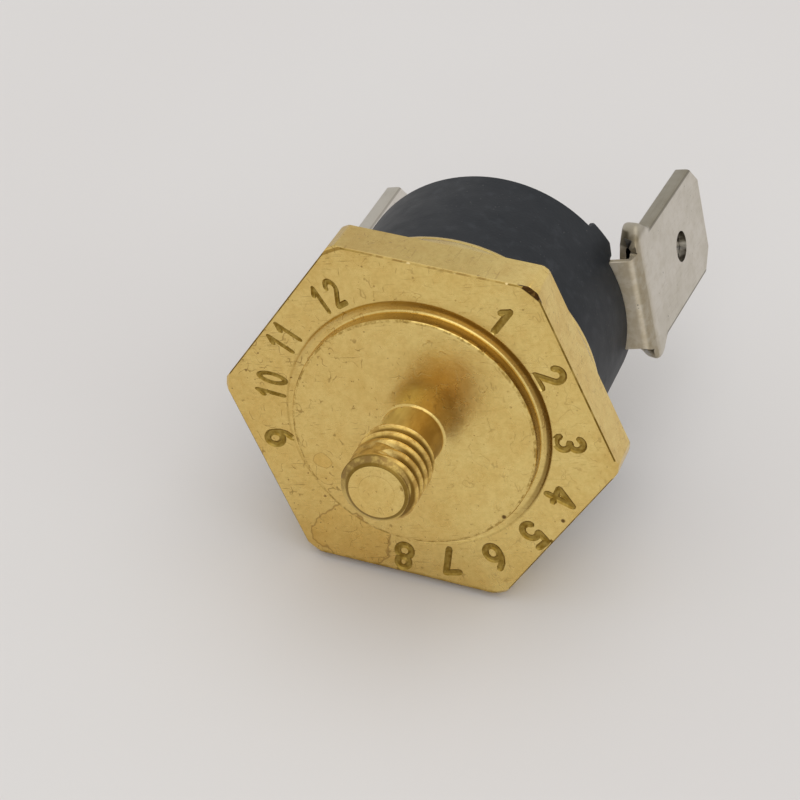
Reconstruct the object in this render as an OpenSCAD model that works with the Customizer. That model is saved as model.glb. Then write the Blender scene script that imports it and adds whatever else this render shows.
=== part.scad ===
// Screw-mount snap-action thermostat, in millimetres.
// A turned brass base carries the stud, the contact face and a skirt that is crimped over a moulded
// housing. A dished bimetal disc under the housing pushes a pin, and the pin lifts a spring arm off
// its fixed contact. Two folded tab terminals are riveted through the back of the housing.
// Frame: +Z runs along the stud's axis towards the terminals, X runs through both terminals, and
// the origin is the centre of the face that seats on the surface being sensed.

/* [Housing] */
// Diameter of the housing behind the skirt
body_d = 15.3; // [14.6:0.1:17]
// Height of the housing from the skirt's rim to its back face
body_h = 8.0; // [7.4:0.1:12]
// How far the crimped flange stands out from the housing
flange_step = 0.13; // [0.05:0.01:0.3]
// Wall of the flange around the pin's guide
flange_wall = 0.58; // [0.4:0.02:0.8]
// Waist that the crimped lip closes into
waist = 0.15; // [0.05:0.05:0.25]
// Bevel on the housing's edges
body_bevel = 0.15; // [0.05:0.05:0.3]
// Wall of the housing around its cavity
body_wall = 1.05; // [0.9:0.05:1.3]
// Floor between the cavity and the terminals
base_t = 2.8; // [2:0.1:3]
// Depth of the trough that the terminals lie in
trough_depth = 0.8; // [0.5:0.05:1.2]
// Clearance on each side of a terminal in the trough
trough_fit = 0.05; // [0.03:0.01:0.15]
// Height of the lugs and the barrier above the back face
lug_h = 0.6; // [0.3:0.05:1]
// Width of each lug beside the trough
lug_w = 1.7; // [1:0.1:2.4]
// Depth of each lug from the housing's outside
lug_depth = 1.6; // [1:0.1:2]
// Width of the slope on the lugs beside the trough
lug_slope_w = 0.5; // [0.2:0.05:0.8]
// Height of that slope
lug_slope_h = 0.7; // [0.2:0.05:1]
// Thickness of the barrier between the terminals
barrier_t = 1.6; // [1:0.1:1.8]

/* [Hex base] */
// Land between the skirt and the flats of the hexagon
hex_land = 0.8; // [0.6:0.1:3]
// Thickness of the hex flange
hex_t = 2.5; // [2:0.1:4]
// How far the six corners are turned down
corner_cut = 0.13; // [0.05:0.01:0.4]
// Bevel on the turned corners at the contact side
corner_bevel = 0.18; // [0.1:0.01:0.5]
// Angle of the hexagon against the terminals, in degrees
hex_angle = 16; // [0:1:59]

/* [Contact face] */
// Diameter of the raised contact face
boss_d = 12.7; // [11:0.1:14]
// Height of the contact face above the hexagon
boss_h = 0.85; // [0.3:0.05:1.2]
// Bevel on the edge of the contact face
boss_bevel = 0.08; // [0.02:0.02:0.2]
// Width of the shallow turned ring around the contact face
ring_w = 0.65; // [0.3:0.05:1]
// Depth of that ring
ring_depth = 0.06; // [0.02:0.01:0.15]
// Brass between the contact face and the disc's recess
sense_t = 1.3; // [1:0.05:1.6]

/* [Stud] */
// Diameter over the thread's crests
thread_d = 3.94; // [3.6:0.02:5]
// Length of the stud from the contact face
stud_l = 5.6; // [5:0.1:12]
// Diameter of the plain neck
neck_d = 3.2; // [2.6:0.1:3.5]
// Length of the plain neck, up to the thread's run-out
neck_l = 2.05; // [2.05:0.05:3]
// Radius of the fillet at the neck's foot
neck_fillet = 0.15; // [0.05:0.05:0.3]
// Diameter of the flat at the stud's tip
tip_d = 2.8; // [2.2:0.1:3.4]
// Length of the chamfer around that flat
tip_h = 0.3; // [0.2:0.05:0.6]

/* [Crimped skirt] */
// Height of the skirt above the hex flange
skirt_h = 2.65; // [2.2:0.05:4]
// Wall of the skirt
skirt_wall = 0.4; // [0.3:0.05:0.5]
// Outside radius of the rolled lip
lip_r = 0.7; // [0.6:0.05:0.9]
// Angle over which the lip is rolled, in degrees
lip_angle = 70; // [45:5:80]
// Clearance between the lip and the housing's shoulder
lip_fit = 0.02; // [0.01:0.01:0.04]

/* [Bimetal disc] */
// Thickness of the disc
disc_t = 0.2; // [0.1:0.05:0.3]
// Depth of its dish
disc_dish = 0.2; // [0.1:0.02:0.3]
// Clearance around the disc
disc_fit = 0.1; // [0.05:0.05:0.2]
// Width of the ledge that the disc's edge lies on
disc_ledge = 0.5; // [0.3:0.1:0.8]
// Room under the middle of the disc
disc_room = 0.1; // [0.05:0.05:0.2]
// Free height above the disc's edge
disc_play = 0.2; // [0.1:0.05:0.3]

/* [Pin and its guide] */
// Diameter of the push pin
pin_d = 1.8; // [1.4:0.1:2.4]
// Radial clearance of the pin in its guide
pin_fit = 0.05; // [0.02:0.01:0.1]
// Height of the dome at the pin's end under the spring arm
pin_dome_h = 0.15; // [0.1:0.01:0.3]
// Gap left at each end of the pin
pin_touch = 0.02; // [0.01:0.01:0.04]
// Thickness of the guide plate at its rim
guide_t = 1.2; // [0.9:0.1:1.6]
// Width of the guide's rim outside the disc's edge
guide_rim = 0.5; // [0.3:0.05:0.65]
// Height of the guide's hub above the plate
hub_h = 2.2; // [1:0.1:3]
// Wall of the guide's hub
hub_wall = 1.0; // [0.6:0.1:1.5]

/* [Terminals] */
// Thickness of the sheet they are folded from
sheet_t = 0.4; // [0.3:0.05:0.45]
// Width of the strip under the rivet
strip_w = 5.1; // [4.6:0.1:5.6]
// Distance of the blades' outer faces from the housing's outside
blade_out = 1.0; // [0.9:0.05:2]
// Inside radius of the bend into the blade
bend_r = 0.1; // [0.1:0.05:0.5]
// Width of the blade
blade_w = 6.4; // [5.6:0.1:6.8]
// Length of the blade above the bend
blade_l = 10.85; // [9:0.05:12]
// Corners cut off the blade's tip
tip_cut = 1.15; // [0.5:0.05:1.6]
// Diameter of the hole in the blade
eye_d = 1.7; // [1.2:0.1:2.2]
// Distance of that hole from the tip
eye_in = 4.25; // [3.5:0.05:5]
// Seam left between the folded wings
seam_w = 0.12; // [0.05:0.01:0.3]
// Gap left between the folded layers
fold_gap = 0.04; // [0.02:0.01:0.08]
// Radius on the outside of the pressed folds
fold_r = 0.16; // [0.1:0.02:0.3]
// Width over the open loops at the foot of the folds
loop_foot_w = 6.8; // [6.6:0.1:8]
// Width over those loops where they are widest
loop_w = 7.9; // [7:0.1:8.2]
// Opening inside those loops
loop_gap = 0.34; // [0.1:0.02:0.4]
// Radius on the outside of those loops
loop_r = 0.4; // [0.2:0.05:0.5]
// Height at which the loops are widest
loop_h = 1.1; // [0.8:0.1:2.2]
// Height over which the loops are pressed flat
press_h = 1.4; // [0.5:0.1:2]
// Angle at which the terminal on the +X side leans outwards, in degrees
right_lean_angle = 3.5; // [-2:0.5:6]
// Angle at which the terminal on the -X side leans outwards, in degrees
left_lean_angle = 0.5; // [-2:0.5:6]

/* [Rivets] */
// Diameter of the rivets' shanks
rivet_d = 2.5; // [2:0.1:2.8]
// Clearance around a shank in its hole
rivet_fit = 0.03; // [0.01:0.01:0.08]
// Diameter of the heads behind the housing
rivet_head_d = 4.2; // [3.6:0.1:4.8]
// Height of those heads
rivet_head_h = 0.55; // [0.3:0.05:0.8]
// Diameter of the heads in the cavity
rivet_tail_d = 3.2; // [3:0.1:3.4]
// Height of the heads in the cavity
rivet_tail_h = 0.4; // [0.2:0.05:0.5]
// Diameter of the hollow in the rivet
rivet_bore_d = 1.2; // [0.8:0.1:1.4]
// Land between the rivets' heads and the wall of the cavity
rivet_land = 0.7; // [0.5:0.05:0.9]

/* [Contacts] */
// Thickness of the spring arm
arm_t = 0.15; // [0.1:0.01:0.2]
// Width of the spring arm
arm_w = 2.6; // [2:0.1:3]
// Height of the arm's foot above its working level
arm_drop = 2.1; // [1.9:0.05:2.3]
// Length of the sloping stretch along X
arm_slope = 1.4; // [1:0.1:1.6]
// How far the contacts lie inwards of the rivet
contact_in = 0.3; // [0:0.05:0.6]
// Diameter of the contacts' heads
contact_d = 2.4; // [2:0.1:2.8]
// Thickness of the contacts' heads
contact_t = 0.5; // [0.35:0.05:0.6]
// Diameter of the contacts' shanks
contact_shank_d = 1.0; // [0.7:0.1:1.2]
// Height of the peened ends of the contacts
peen_h = 0.12; // [0.08:0.02:0.15]
// Width of the arm and of the bracket beyond the contacts
contact_land = 0.15; // [0.1:0.05:0.3]
// Crown on the contacts' faces
contact_crown = 0.05; // [0.02:0.01:0.1]
// Thickness of the fixed contact's bracket
bracket_t = 0.5; // [0.4:0.05:0.6]
// Width of the bracket along X
bracket_w = 3.0; // [2.6:0.1:3.2]

/* [Hidden] */
$fn = 64;
over = 0.5;      // how far a cutter stands past what it cuts
slice = 0.01;    // thickness of the plans that a hull joins

// Levels along the axis, from the contact face
hex_back_z = boss_h + hex_t;
rim_z = hex_back_z + skirt_h;
rear_z = rim_z + body_h;
ledge_z = sense_t + disc_dish + disc_room;
seat_z = ledge_z + disc_t + disc_play;
trough_z = rear_z - trough_depth;
ceiling_z = trough_z - base_t;
arm_z = ceiling_z - arm_drop;
shelf_z = arm_z - 2*contact_t - pin_touch;    // top of the bracket's shelf

// Radii
body_r = body_d/2;
flange_r = body_r + flange_step;
skirt_in_r = flange_r + lip_fit;
skirt_r = skirt_in_r + skirt_wall;
hex_point_r = (skirt_r + hex_land)/cos(30);
hex_corner_r = hex_point_r - corner_cut;
lip_x = skirt_r - lip_r;
lip_z = rim_z - lip_r;
shoulder_r = lip_r - skirt_wall - lip_fit;
cavity_r = body_r - body_wall;
guide_r = flange_r - flange_wall - disc_fit;
pocket_r = guide_r - guide_rim;
disc_r = pocket_r - disc_fit;
disc_rest_r = disc_r - disc_ledge;
pin_r = pin_d/2;
hole_r = rivet_d/2 + rivet_fit;

// Distances from the axis along X
rivet_x = cavity_r - rivet_tail_d/2 - rivet_land;
contact_x = rivet_x - contact_in;
blade_x = body_r + blade_out;

// Terminal
bend_out_r = bend_r + sheet_t;
bend_x = blade_x - bend_out_r;
bend_z = trough_z + bend_out_r;
trough_w = strip_w + 2*trough_fit;

// The contact arm turns about the inner edge of the rivet's head when the pin lifts it
pivot_x = -rivet_x + rivet_tail_d/2;

function arc(cx, cy, r, a0, a1, n) =
    [for (i = [0:n]) let (a = a0 + (a1 - a0)*i/n) [cx + r*cos(a), cy + r*sin(a)]];

// Underside of the disc, dished towards the contact face and resting on its ledge
function dish_z(r) = ledge_z + disc_dish*(pow(r/disc_r, 2) - pow(disc_rest_r/disc_r, 2));
disc_top_z = dish_z(0) + disc_t;

module at_z(z) translate([0, 0, z]) children();

module puck(r, z0, z1) at_z(z0) cylinder(h = z1 - z0, r = r);

module hex_flange() {
    intersection() {
        at_z(boss_h) rotate(hex_angle) cylinder(h = hex_t, r = hex_point_r, $fn = 6);
        rotate_extrude() polygon([
            [0, boss_h], [hex_corner_r - corner_bevel, boss_h],
            [hex_corner_r, boss_h + corner_bevel], [hex_corner_r, hex_back_z], [0, hex_back_z]]);
    }
}

module skirt() {
    rotate_extrude() polygon(concat(
        [[skirt_in_r, seat_z], [skirt_r, seat_z]],
        arc(lip_x, lip_z, lip_r, 0, lip_angle, 8),
        arc(lip_x, lip_z, lip_r - skirt_wall, lip_angle, 0, 8)));
}

module stud() {
    runout = (thread_d - neck_d)/2;
    rotate_extrude() polygon(concat(
        [[0, boss_bevel], [neck_d/2 + neck_fillet, boss_bevel]],
        arc(neck_d/2 + neck_fillet, -neck_fillet, neck_fillet, 90, 180, 5),
        [[neck_d/2, -neck_l], [thread_d/2, -neck_l - runout], [thread_d/2, tip_h - stud_l],
         [tip_d/2, -stud_l], [0, -stud_l]]));
}

module hex_base() {
    color([0.80, 0.68, 0.40])
    difference() {
        union() {
            hex_flange();
            skirt();
            stud();
            rotate_extrude() polygon([
                [0, 0], [boss_d/2 - boss_bevel, 0], [boss_d/2, boss_bevel],
                [boss_d/2, boss_h + ring_depth], [0, boss_h + ring_depth]]);
        }
        // turned ring around the contact face
        rotate_extrude() translate([boss_d/2, boss_h - over])
            square([ring_w, ring_depth + over]);
        // recess under the disc, the disc's pocket and the housing's seat
        puck(disc_rest_r, sense_t, ledge_z + over);
        puck(pocket_r, ledge_z, seat_z + over);
        puck(skirt_in_r, seat_z, lip_z);
    }
}

module bimetal_disc() {
    steps = 10;
    color([0.75, 0.74, 0.70])
    rotate_extrude() polygon(concat(
        [for (i = [0:steps]) let (r = disc_r*i/steps) [r, dish_z(r)]],
        [for (i = [steps:-1:0]) let (r = disc_r*i/steps) [r, dish_z(r) + disc_t]]));
}

module pin_guide() {
    web_z = seat_z + disc_dish + disc_room;   // the disc snaps up into the hollow below the web
    hub_z = seat_z + guide_t + hub_h;
    color([0.30, 0.16, 0.09])
    difference() {
        union() {
            puck(guide_r, seat_z, seat_z + guide_t);
            puck(pin_r + pin_fit + hub_wall, seat_z + guide_t - over, hub_z);
        }
        puck(disc_rest_r, seat_z - over, web_z);
        puck(pin_r + pin_fit, seat_z - over, hub_z + over);
    }
}

module push_pin() {
    z0 = disc_top_z + pin_touch;
    z1 = arm_z - pin_touch;
    bevel = 0.1;
    dome_r = (pin_r*pin_r + pin_dome_h*pin_dome_h)/(2*pin_dome_h);
    dome_a = asin(pin_r/dome_r);
    color([0.93, 0.92, 0.88])
    rotate_extrude() polygon(concat(
        [[0, z0], [pin_r - bevel, z0], [pin_r, z0 + bevel]],
        arc(0, z1 - dome_r, dome_r, 90 - dome_a, 90, 5)));
}

// Raised lug beside the trough, sloped down towards the terminal
module lug() {
    y0 = trough_w/2;
    top = rear_z + lug_h;
    intersection() {
        translate([body_r - lug_depth, 0, 0]) rotate([90, 0, 90])
            linear_extrude(lug_depth) polygon([
                [y0, trough_z], [y0, top - lug_slope_h], [y0 + lug_slope_w, top],
                [y0 + lug_w, top], [y0 + lug_w, trough_z]]);
        at_z(trough_z - over) cylinder(h = trough_depth + lug_h + 2*over, r = body_r);
    }
}

module housing() {
    neck_r = body_r - waist;
    color([0.17, 0.18, 0.20])
    difference() {
        union() {
            rotate_extrude() polygon(concat(
                [[0, seat_z], [flange_r, seat_z]],
                arc(lip_x, lip_z, shoulder_r, 0, 90, 6),
                [[neck_r, lip_z + shoulder_r], [neck_r, rim_z], [body_r, rim_z + waist],
                 [body_r, rear_z - body_bevel], [body_r - body_bevel, rear_z], [0, rear_z]]));
            for (side = [0, 180]) rotate(side) {
                lug();
                mirror([0, 1, 0]) lug();
            }
            translate([-barrier_t/2, -trough_w/2 - over, trough_z])
                cube([barrier_t, trough_w + 2*over, trough_depth + lug_h]);
        }
        puck(guide_r + disc_fit, seat_z - over, seat_z + guide_t);
        puck(cavity_r, seat_z + guide_t - over, ceiling_z);
        for (side = [0, 180]) rotate(side) {
            translate([barrier_t/2, -trough_w/2, trough_z])
                cube([body_r, trough_w, trough_depth + lug_h + over]);
            translate([rivet_x, 0, 0]) puck(hole_r, ceiling_z - over, trough_z + over);
        }
    }
}

// Plan of the folded blade: its outer face lies on x = 0 and the wings are folded behind it
module fold_plan(w, gap, r) {
    t = 2*sheet_t + gap;
    polygon(concat(
        arc(-r, w/2 - r, r, 0, 90, 4), arc(-t + r, w/2 - r, r, 90, 180, 4),
        arc(-t + r, r - w/2, r, 180, 270, 4), arc(-r, r - w/2, r, 270, 360, 4)));
}

// Plan of the gap between the sheet and its wings
module gap_plan(w, gap) {
    end_y = w/2 - sheet_t - gap/2;
    translate([-sheet_t - gap, -end_y]) square([gap, 2*end_y]);
    for (s = [-1, 1]) translate([-sheet_t - gap/2, s*end_y]) circle(d = gap, $fn = 16);
}

module slice_at(z) at_z(z) linear_extrude(slice) children();

module blade() {
    pressed_z = loop_h + press_h;
    // height, width, gap and corner radius of the folds, from their foot to where they are pressed
    foot = [0, loop_foot_w, loop_gap, loop_r];
    swell = [loop_h/4, loop_foot_w + 0.6*(loop_w - loop_foot_w), loop_gap, loop_r];
    wide = [loop_h, loop_w, loop_gap, loop_r];
    narrow = [loop_h + press_h/2, (loop_w + blade_w)/2,
              (loop_gap + fold_gap)/2, (loop_r + fold_r)/2];
    pressed = [pressed_z, blade_w, fold_gap, fold_r];
    levels = [foot, swell, wide, narrow, pressed];
    difference() {
        union() {
            for (i = [0:3]) hull() for (level = [levels[i], levels[i + 1]])
                slice_at(level[0]) fold_plan(level[1], level[2], level[3]);
            at_z(pressed_z) linear_extrude(blade_l - pressed_z)
                fold_plan(blade_w, fold_gap, fold_r);
        }
        // open loops at the foot
        hull() {
            slice_at(-2*slice) gap_plan(loop_foot_w, loop_gap);
            slice_at(loop_h) gap_plan(loop_w, loop_gap);
        }
        // gap between the pressed layers
        at_z(pressed_z) linear_extrude(blade_l) gap_plan(blade_w, fold_gap);
        // seam between the wings
        translate([-3*sheet_t - loop_gap, -seam_w/2, -over])
            cube([2*sheet_t + loop_gap, seam_w, blade_l + 2*over]);
        // corners cut off the tip
        for (s = [-1, 1]) translate([-blade_w/2, 0, blade_l]) rotate([90, 0, 90])
            linear_extrude(blade_w) polygon([
                [s*(blade_w/2 + over), -tip_cut - over], [s*(blade_w/2 + over), over],
                [s*(blade_w/2 - tip_cut - over), over]]);
    }
}

module terminal(lean) {
    color([0.72, 0.70, 0.66])
    difference() {
        union() {
            at_z(trough_z) linear_extrude(sheet_t) {
                translate([rivet_x, 0]) circle(d = strip_w);
                translate([rivet_x, -strip_w/2]) square([bend_x - rivet_x, strip_w]);
            }
            translate([bend_x, 0, bend_z]) {
                rotate([90, 0, 0]) rotate(-90) rotate_extrude(angle = 90 - lean)
                    translate([bend_r, -strip_w/2]) square([sheet_t, strip_w]);
                rotate([0, lean, 0]) translate([bend_out_r, 0, 0]) blade();
            }
        }
        translate([rivet_x, 0, 0]) puck(hole_r, trough_z - over, trough_z + sheet_t + over);
        translate([bend_x, 0, bend_z]) rotate([0, lean, 0])
            translate([-over, 0, blade_l - eye_in]) rotate([0, 90, 0])
                cylinder(h = bend_out_r + 2*over, d = eye_d);
    }
}

module terminal_right() terminal(right_lean_angle);

module terminal_left() rotate(180) terminal(left_lean_angle);

// Rivet that clamps a terminal to the housing and holds a foot of the given thickness inside
module rivet(foot_t) {
    head_z = trough_z + sheet_t;
    tail_z = ceiling_z - foot_t;
    bore = rivet_bore_d/2;
    bevel = 0.1;
    color([0.78, 0.77, 0.73])
    translate([rivet_x, 0, 0]) rotate_extrude() polygon(concat(
        [[0, tail_z - rivet_tail_h], [rivet_tail_d/2 - bevel, tail_z - rivet_tail_h],
         [rivet_tail_d/2, tail_z - rivet_tail_h + bevel], [rivet_tail_d/2, tail_z],
         [rivet_d/2, tail_z], [rivet_d/2, head_z], [rivet_head_d/2, head_z]],
        arc(rivet_head_d/2 - rivet_head_h, head_z, rivet_head_h, 20, 80, 5),
        [[bore + 2*bevel, head_z + rivet_head_h], [bore, head_z + rivet_head_h - 2*bevel],
         [bore, head_z - base_t/2], [0, head_z - base_t/2 - bore/2]]));
}

module rivet_right() rivet(bracket_t);

module rivet_left() rotate(180) rivet(arm_t);

module contact_arm() {
    end_r = contact_d/2 + contact_land;
    foot_r = rivet_tail_d/2;
    slope = atan((arm_drop - arm_t)/arm_slope);
    shift = arm_t*tan(slope/2);
    x0 = -rivet_x - foot_r;
    x1 = pivot_x;
    x2 = pivot_x + arm_slope;
    x3 = contact_x + end_r;
    color([0.80, 0.55, 0.32])
    difference() {
        intersection() {
            rotate([90, 0, 0]) linear_extrude(4*foot_r, center = true) polygon([
                [x0, ceiling_z - arm_t], [x1, ceiling_z - arm_t], [x2, arm_z], [x3, arm_z],
                [x3, arm_z + arm_t], [x2 + shift, arm_z + arm_t], [x1 + shift, ceiling_z],
                [x0, ceiling_z]]);
            at_z(arm_z - over) linear_extrude(arm_drop + 2*over) {
                translate([-rivet_x, 0]) circle(r = foot_r);
                translate([-rivet_x, -arm_w/2]) square([rivet_x + contact_x, arm_w]);
                translate([contact_x, 0]) circle(r = end_r);
            }
        }
        translate([-rivet_x, 0, 0]) puck(hole_r, ceiling_z - 2*arm_t, ceiling_z + over);
        translate([contact_x, 0, 0])
            puck(contact_shank_d/2, arm_z - over, arm_z + arm_t + over);
    }
}

// Riveted contact with its head at face_z and its peened end at the far side of the carrier
module contact(head_z, face_z, carrier_t) {
    dir = face_z > head_z ? 1 : -1;
    color([0.86, 0.86, 0.84])
    translate([contact_x, 0, head_z]) facing(dir) rotate_extrude() polygon([
        [0, -carrier_t - peen_h], [contact_shank_d/2 + peen_h, -carrier_t - peen_h],
        [contact_shank_d/2 + peen_h, -carrier_t], [contact_shank_d/2, -carrier_t],
        [contact_shank_d/2, 0], [contact_d/2, 0], [contact_d/2, contact_t - 2*contact_crown],
        [contact_d/2 - 2*contact_crown, contact_t - contact_crown], [contact_d/4, contact_t],
        [0, contact_t]]);
}

module facing(dir) if (dir > 0) children(); else mirror([0, 0, 1]) children();

module moving_contact() contact(arm_z, arm_z - contact_t, arm_t);

module fixed_contact() contact(shelf_z, shelf_z + contact_t, bracket_t);

// Bent bracket: a foot under the rivet, a leg beside the arm and a shelf below it
module contact_bracket() {
    leg_y = max(rivet_tail_d, contact_d)/2 + contact_land;
    shelf_y = -contact_d/2 - contact_land;
    x0 = rivet_x - bracket_w/2;
    color([0.82, 0.70, 0.42])
    difference() {
        translate([x0, 0, 0]) rotate([90, 0, 90]) linear_extrude(bracket_w) polygon([
            [-rivet_tail_d/2, ceiling_z], [leg_y + bracket_t, ceiling_z],
            [leg_y + bracket_t, shelf_z - bracket_t], [shelf_y, shelf_z - bracket_t],
            [shelf_y, shelf_z], [leg_y, shelf_z], [leg_y, ceiling_z - bracket_t],
            [-rivet_tail_d/2, ceiling_z - bracket_t]]);
        translate([rivet_x, 0, 0])
            puck(hole_r, ceiling_z - bracket_t - over, ceiling_z + over);
        translate([contact_x, 0, 0])
            puck(contact_shank_d/2, shelf_z - bracket_t - over, shelf_z + over);
    }
}

hex_base();
bimetal_disc();
pin_guide();
push_pin();
housing();
terminal_right();
terminal_left();
rivet_right();
rivet_left();
contact_arm();
moving_contact();
contact_bracket();
fixed_contact();
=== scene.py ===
import math

import bmesh
import bpy
import numpy as np
from mathutils import Matrix, Vector, noise


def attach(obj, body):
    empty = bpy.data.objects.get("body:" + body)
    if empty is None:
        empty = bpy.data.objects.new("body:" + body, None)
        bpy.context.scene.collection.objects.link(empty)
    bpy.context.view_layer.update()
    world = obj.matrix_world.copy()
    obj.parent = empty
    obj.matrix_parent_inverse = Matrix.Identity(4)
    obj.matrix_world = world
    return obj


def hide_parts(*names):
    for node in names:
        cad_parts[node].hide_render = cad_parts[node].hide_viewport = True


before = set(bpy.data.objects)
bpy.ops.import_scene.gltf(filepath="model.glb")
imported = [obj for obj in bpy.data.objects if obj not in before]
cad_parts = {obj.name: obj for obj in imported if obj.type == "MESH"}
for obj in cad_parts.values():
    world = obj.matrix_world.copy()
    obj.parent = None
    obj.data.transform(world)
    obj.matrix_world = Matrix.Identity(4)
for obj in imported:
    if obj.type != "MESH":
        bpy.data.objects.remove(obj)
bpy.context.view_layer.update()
scene = bpy.context.scene

# Millimetres below, metres in Blender
MM = 0.001

# Mesh building: points closer than WELD join, and edges sharper than SHARP degrees stay sharp
WELD = 0.0005
SHARP = 32.0
ROUND_ANGLE = 40.0
OUTSIDE = 10            # beyond the housing on every side
HALF_TURN = Matrix.Rotation(math.pi, 4, "Z")

# Base: levels along the axis from the contact face, and radii
HEX_ANGLE = 16.0
TOP_FLAT = HEX_ANGLE + 270
FLAT_APOTHEM = 9.0
CORNER_R = 10.262
CORNER_BEVEL = 0.18
CORNER_FACE_R = CORNER_R - CORNER_BEVEL
EDGE_BEVEL = 0.07
BOSS_R = 6.35
BOSS_BEVEL = 0.08
BOSS_H = 0.85
RING_R = 6.92
RING_DEPTH = 0.06
RING_FOOT_R = 0.11
HEX_BACK_Z = 3.35
HEX_BACK_BEVEL = 0.04
SKIRT_R = 8.2
SKIRT_WALL = 0.4
RIM_Z = 6.0
LIP_R = 0.7
LIP_ANGLE = 70
LIP_X = SKIRT_R - LIP_R
LIP_Z = RIM_Z - LIP_R
SEAT_Z = 2.0
LEDGE_Z = 1.6
SENSE_T = 1.3
POCKET_R = 6.6
DISC_REST_R = 6.0

# Stud
THREAD_R = 1.97
PITCH = 0.7
NECK_R = 1.6
NECK_L = 2.05
NECK_FILLET = 0.15
STUD_L = 5.6
TIP_R = 1.4
TIP_H = 0.3
NICK_AZ = -8
CREST_Z = -3.8          # a crest of the thread passes here at CREST_AZ
CREST_AZ = -60.0
WORN_AZ = -112.0        # the thread is worn round this azimuth, most at this level
WORN_Z = -4.6

# Housing
BODY_R = 7.65
FLANGE_R = 7.78
WAIST = 0.15
REAR_Z = 14.0
TROUGH_Z = 13.2
CEILING_Z = 10.4
CAVITY_R = 6.6
GUIDE_R = 7.2
GUIDE_Z = 3.2
TROUGH_W = 5.2
LUG_W = 1.7
LUG_DEPTH = 1.6
LUG_H = 0.6
LUG_SLOPE_W = 0.5
LUG_SLOPE_H = 0.7
BARRIER_T = 1.6
HOLE_R = 1.28

# Terminals and rivets
SHEET_T = 0.4
STRIP_W = 5.1
BEND_R = 0.1
BEND_OUT_R = BEND_R + SHEET_T
BLADE_X = BODY_R + 1.0
BEND_X = BLADE_X - BEND_OUT_R
BEND_Z = TROUGH_Z + BEND_OUT_R
BLADE_W = 6.4
BLADE_L = 10.85
BLADE_LEVELS = [0, .12, .3, .5, .7, .9, 1.1, 1.25, 1.4, 1.5, 1.6, 1.7, 1.8, 1.9, 2.0, 2.1, 2.2, 2.3,
                2.4, 2.5, 2.7, 3.1, 4, 5, 6, 7, 8, 9, 10, BLADE_L]
TIP_CUT = 1.15
EYE_D = 1.7
EYE_IN = 4.25
SEAM_W = 0.12
FOLD_GAP = 0.04
FOLD_R = 0.16
LOOP_FOOT_W = 6.8
LOOP_W = 7.9
LOOP_GAP = 0.34
LOOP_R = 0.4
LOOP_H = 1.1
PRESS_H = 1.4
FLARE = 0.25             # how much wider the strip gets on each side as it turns into the blade
RIGHT_LEAN = 3.5
LEFT_LEAN = 0.5
RIVET_X = 4.3
RIVET_R = 1.25
RIVET_HEAD_R = 2.1
RIVET_HEAD_H = 0.55
RIVET_TAIL_R = 1.6
RIVET_TAIL_H = 0.4
RIVET_BORE_R = 0.6
# Rolled mouth of the rivet's bore: (radius, depth below the head), and the bore's end: (radius, level)
RIVET_MOUTH = [(1.25, 0), (1.0, 0.005), (0.86, 0.03), (0.74, 0.09), (RIVET_BORE_R + 0.04, 0.2),
               (RIVET_BORE_R, 0.35)]
RIVET_BORE_END = [(RIVET_BORE_R, 12.2), (0.45, 11.85), (0.2, 11.66), (0, 11.6)]
BRACKET_T = 0.5
ARM_T = 0.15

# Dried stains on the brass: (centre, radius, raggedness)
TIDE_MARKS = [((-5.0, 6.4, 0.85), 1.9, 0.5), ((-5.2, 1.4, 0.0), 0.45, 0.6), ((-5.2, -7.6, 2.2), 0.9, 0.9)]
# Corners whose bevel is dark, the first as painted shade: (azimuth, height of the dark part, colour)
DARK_CORNERS = [(HEX_ANGLE - 60, CORNER_BEVEL, (0.06, 0.028, 0.008)),
                (HEX_ANGLE - 120, 0.1, (0.42, 0.26, 0.06))]
# Azimuth of the flat whose front edge is painted brown as the floor's contact shadow reflected in it
REFLECTED_SHADE_EDGE = HEX_ANGLE + 90
# Black specks on the brass: (centre, radius)
DARK_SPOTS = [((5.12, 4.23, 0.0), 0.13), ((3.85, 4.85, 0.0), 0.16), ((6.56, 5.63, 0.85), 0.15)]

# How it lies on the table, and how the photograph looks at it
ROOM_UP = Vector((0.2725, -0.9539, -0.1253)).normalized()
FLOOR_TOUCH = 9.347
EYE = Vector((46.8356, -57.8652, -103.3825))
LOOK = Vector((-0.37183, 0.44171, 0.81648))
IMAGE_DOWN = Vector((-0.02694, 0.87404, -0.48511))
FOCAL_PX = 2575.65
FRAME_PX = 800
SENSOR_MM = 36
FLOOR_GAP = 0.02
FLOOR_HALF = 900
FLOOR_MIDDLE_Z = 8.0
LAMP_TARGET_Z = 7


# Mesh tools

def polar(r, az):
    a = math.radians(az)
    return Vector((r*math.cos(a), r*math.sin(a), 0))


def arc(cx, cy, r, a0, a1, n):
    return [(cx + r*math.cos(math.radians(a)), cy + r*math.sin(math.radians(a)))
            for a in np.linspace(a0, a1, n + 1)]


def smooth(t):
    t = np.clip(t, 0.0, 1.0)
    return t*t*(3 - 2*t)


def wobble(points, size, seed):
    """Smooth noise between -1 and 1 at points in millimetres."""
    shift = Vector((seed*17.3, seed*7.9, seed*3.1))
    return np.array([noise.noise(Vector(p)/size + shift) for p in points])


def degrees_from(az, angles):
    """Signed angle in degrees from an azimuth to angles in radians."""
    return (np.degrees(angles) - az + 180) % 360 - 180


def bell(away, spread):
    return np.exp(-away**2/(2*spread**2))


def add_object(name, data):
    obj = bpy.data.objects.new(name, data)
    scene.collection.objects.link(obj)
    return obj


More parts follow.
